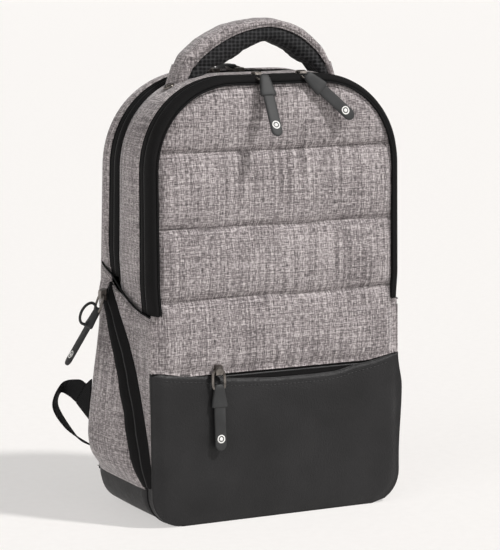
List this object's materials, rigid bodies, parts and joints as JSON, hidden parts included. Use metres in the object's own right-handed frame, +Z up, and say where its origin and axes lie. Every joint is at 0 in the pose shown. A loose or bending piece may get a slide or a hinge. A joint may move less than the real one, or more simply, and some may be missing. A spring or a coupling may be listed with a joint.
{
  "type": "racket backpack",
  "caption": "Padded racket backpack with a quilted front flap, a main compartment, zipped side pockets, a leather-look front pocket and shoulder straps.",
  "frame": {"origin": "middle of the flat base, on the ground", "axes": "+Z up, the quilted front faces -Y, the wearer's back is at +Y, +X to the right as seen from the front"},
  "size_m": [0.3875, 0.2602, 0.537],
  "materials": {
    "heather_fabric": "grey heather polyester weave",
    "leather": "black grained synthetic leather",
    "zip_tape": "black coated zip tape",
    "lining": "dark plain lining",
    "spacer_mesh": "black spacer mesh",
    "webbing": "black ribbed webbing",
    "rubber_pull": "matt dark grey moulded rubber",
    "gunmetal": "dark plated metal",
    "plastic": "matt black moulded plastic"
  },
  "bodies": {
    "pack": {"base_boot": "leather", "base_board": "plastic", "front_pocket": "leather", "lower_front_wall": "lining", "front_pocket_zip_tape": "zip_tape", "back_panel": "lining", "rear_gusset": "heather_fabric", "laptop_sleeve": "lining", "side_wall_left": "lining", "side_wall_right": "lining", "side_pocket_rear_left": "heather_fabric", "side_pocket_front_left": "heather_fabric", "side_pocket_rear_right": "heather_fabric", "side_pocket_front_right": "heather_fabric", "side_zip_tape_left": "zip_tape", "side_zip_tape_right": "zip_tape", "main_zip_rear_tape": "zip_tape", "back_pad_left": "spacer_mesh", "back_pad_right": "spacer_mesh", "lumbar_pad": "spacer_mesh", "strap_yoke": "heather_fabric", "hang_loop": "webbing", "strap_tab_left": "webbing", "strap_tab_right": "webbing", "strap_webbing_left": "webbing", "strap_webbing_right": "webbing"},
    "front_section": {"middle_gusset": "heather_fabric", "main_zip_front_tape": "zip_tape", "front_zip_rear_tape": "zip_tape", "front_skirt": "heather_fabric", "compartment_divider": "lining", "organiser_pocket": "lining", "cable_eyelet": "gunmetal", "handle_anchor_left": "heather_fabric", "handle_anchor_right": "heather_fabric"},
    "front_flap": {"front_flap": "heather_fabric", "front_zip_flap_tape": "zip_tape"},
    "handle": {"handle_cover": "heather_fabric", "handle_grip": "spacer_mesh"},
    "strap_left": {"strap_pad_left": "heather_fabric", "strap_buckle_left": "plastic"},
    "strap_right": {"strap_pad_right": "heather_fabric", "strap_buckle_right": "plastic"},
    "front_zip_left_slider": {"front_zip_left_slider": "gunmetal"},
    "front_zip_left_pull": {"front_zip_left_pull": "rubber_pull"},
    "front_zip_right_slider": {"front_zip_right_slider": "gunmetal"},
    "front_zip_right_pull": {"front_zip_right_pull": "rubber_pull"},
    "main_zip_left_slider": {"main_zip_left_slider": "gunmetal"},
    "main_zip_left_pull": {"main_zip_left_pull": "rubber_pull"},
    "main_zip_right_slider": {"main_zip_right_slider": "gunmetal"},
    "main_zip_right_pull": {"main_zip_right_pull": "rubber_pull"},
    "front_pocket_zip_slider": {"front_pocket_zip_slider": "gunmetal"},
    "front_pocket_zip_pull": {"front_pocket_zip_pull": "rubber_pull"},
    "side_zip_left_slider": {"side_zip_left_slider": "gunmetal"},
    "side_zip_left_pull": {"side_zip_left_pull": "rubber_pull"},
    "side_zip_right_slider": {"side_zip_right_slider": "gunmetal"},
    "side_zip_right_pull": {"side_zip_right_pull": "rubber_pull"}
  },
  "joints": [
    {"name": "main_opening", "type": "hinge", "parent": "pack", "child": "front_section", "pos_m": [0, 0.02567, 0.262], "axis": [1, 0, 0], "range_deg": [0, 20]},
    {"name": "front_opening", "type": "hinge", "parent": "front_section", "child": "front_flap", "pos_m": [0, -0.0772, 0.229], "axis": [1, 0, 0], "range_deg": [0, 80]},
    {"name": "handle_rock", "type": "hinge", "parent": "front_section", "child": "handle", "pos_m": [0.005, -0.01, 0.4856], "axis": [1, 0, 0], "range_deg": [-30, 30]},
    {"name": "strap_lift_left", "type": "hinge", "parent": "pack", "child": "strap_left", "pos_m": [-0.042, 0.0772, 0.434], "axis": [1, 0, 0], "range_deg": [0, 25], "deforming": ["strap_webbing_left"]},
    {"name": "strap_lift_right", "type": "hinge", "parent": "pack", "child": "strap_right", "pos_m": [0.042, 0.0772, 0.434], "axis": [1, 0, 0], "range_deg": [0, 25], "deforming": ["strap_webbing_right"]},
    {"name": "front_zip_left_travel", "type": "slide", "parent": "front_flap", "child": "front_zip_left_slider", "axis": [1, 0, 0], "range_m": [-0.033, 0.025]},
    {"name": "front_zip_left_swing", "type": "hinge", "parent": "front_zip_left_slider", "child": "front_zip_left_pull", "pos_m": [-0.017, -0.05502, 0.4792], "axis": [-1, 0, 0], "range_deg": [0, 95]},
    {"name": "front_zip_right_travel", "type": "slide", "parent": "front_flap", "child": "front_zip_right_slider", "axis": [1, 0, 0], "range_m": [-0.007, 0.012]},
    {"name": "front_zip_right_swing", "type": "hinge", "parent": "front_zip_right_slider", "child": "front_zip_right_pull", "pos_m": [0.037, -0.05502, 0.4792], "axis": [-1, 0, 0], "range_deg": [0, 95]},
    {"name": "main_zip_left_travel", "type": "slide", "parent": "pack", "child": "main_zip_left_slider", "axis": [1, 0, 0], "range_m": [-0.024, 0.004]},
    {"name": "main_zip_left_swing", "type": "hinge", "parent": "main_zip_left_slider", "child": "main_zip_left_pull", "pos_m": [-0.031, 0.01758, 0.4792], "axis": [1, 0, 0], "range_deg": [0, 80]},
    {"name": "main_zip_right_travel", "type": "slide", "parent": "pack", "child": "main_zip_right_slider", "axis": [1, 0, 0], "range_m": [-0.004, 0.055]},
    {"name": "main_zip_right_swing", "type": "hinge", "parent": "main_zip_right_slider", "child": "main_zip_right_pull", "pos_m": [-0.001, 0.01758, 0.4792], "axis": [1, 0, 0], "range_deg": [0, 80]},
    {"name": "front_pocket_zip_travel", "type": "slide", "parent": "pack", "child": "front_pocket_zip_slider", "axis": [1, 0, 0], "range_m": [-0.055, 0.205]},
    {"name": "front_pocket_zip_swing", "type": "hinge", "parent": "front_pocket_zip_slider", "child": "front_pocket_zip_pull", "pos_m": [-0.075, -0.08023, 0.1665], "axis": [-1, 0, 0], "range_deg": [0, 75]},
    {"name": "side_zip_left_travel", "type": "slide", "parent": "pack", "child": "side_zip_left_slider", "axis": [0, -0.3911, -0.9203], "range_m": [0, 0.185]},
    {"name": "side_zip_left_swing", "type": "hinge", "parent": "side_zip_left_slider", "child": "side_zip_left_pull", "pos_m": [-0.165, 0.0222, 0.241], "axis": [0, 1, 0], "range_deg": [0, 90]},
    {"name": "side_zip_right_travel", "type": "slide", "parent": "pack", "child": "side_zip_right_slider", "axis": [0, -0.3911, -0.9203], "range_m": [0, 0.185]},
    {"name": "side_zip_right_swing", "type": "hinge", "parent": "side_zip_right_slider", "child": "side_zip_right_pull", "pos_m": [0.165, 0.0222, 0.241], "axis": [0, -1, 0], "range_deg": [0, 110]}
  ]
}
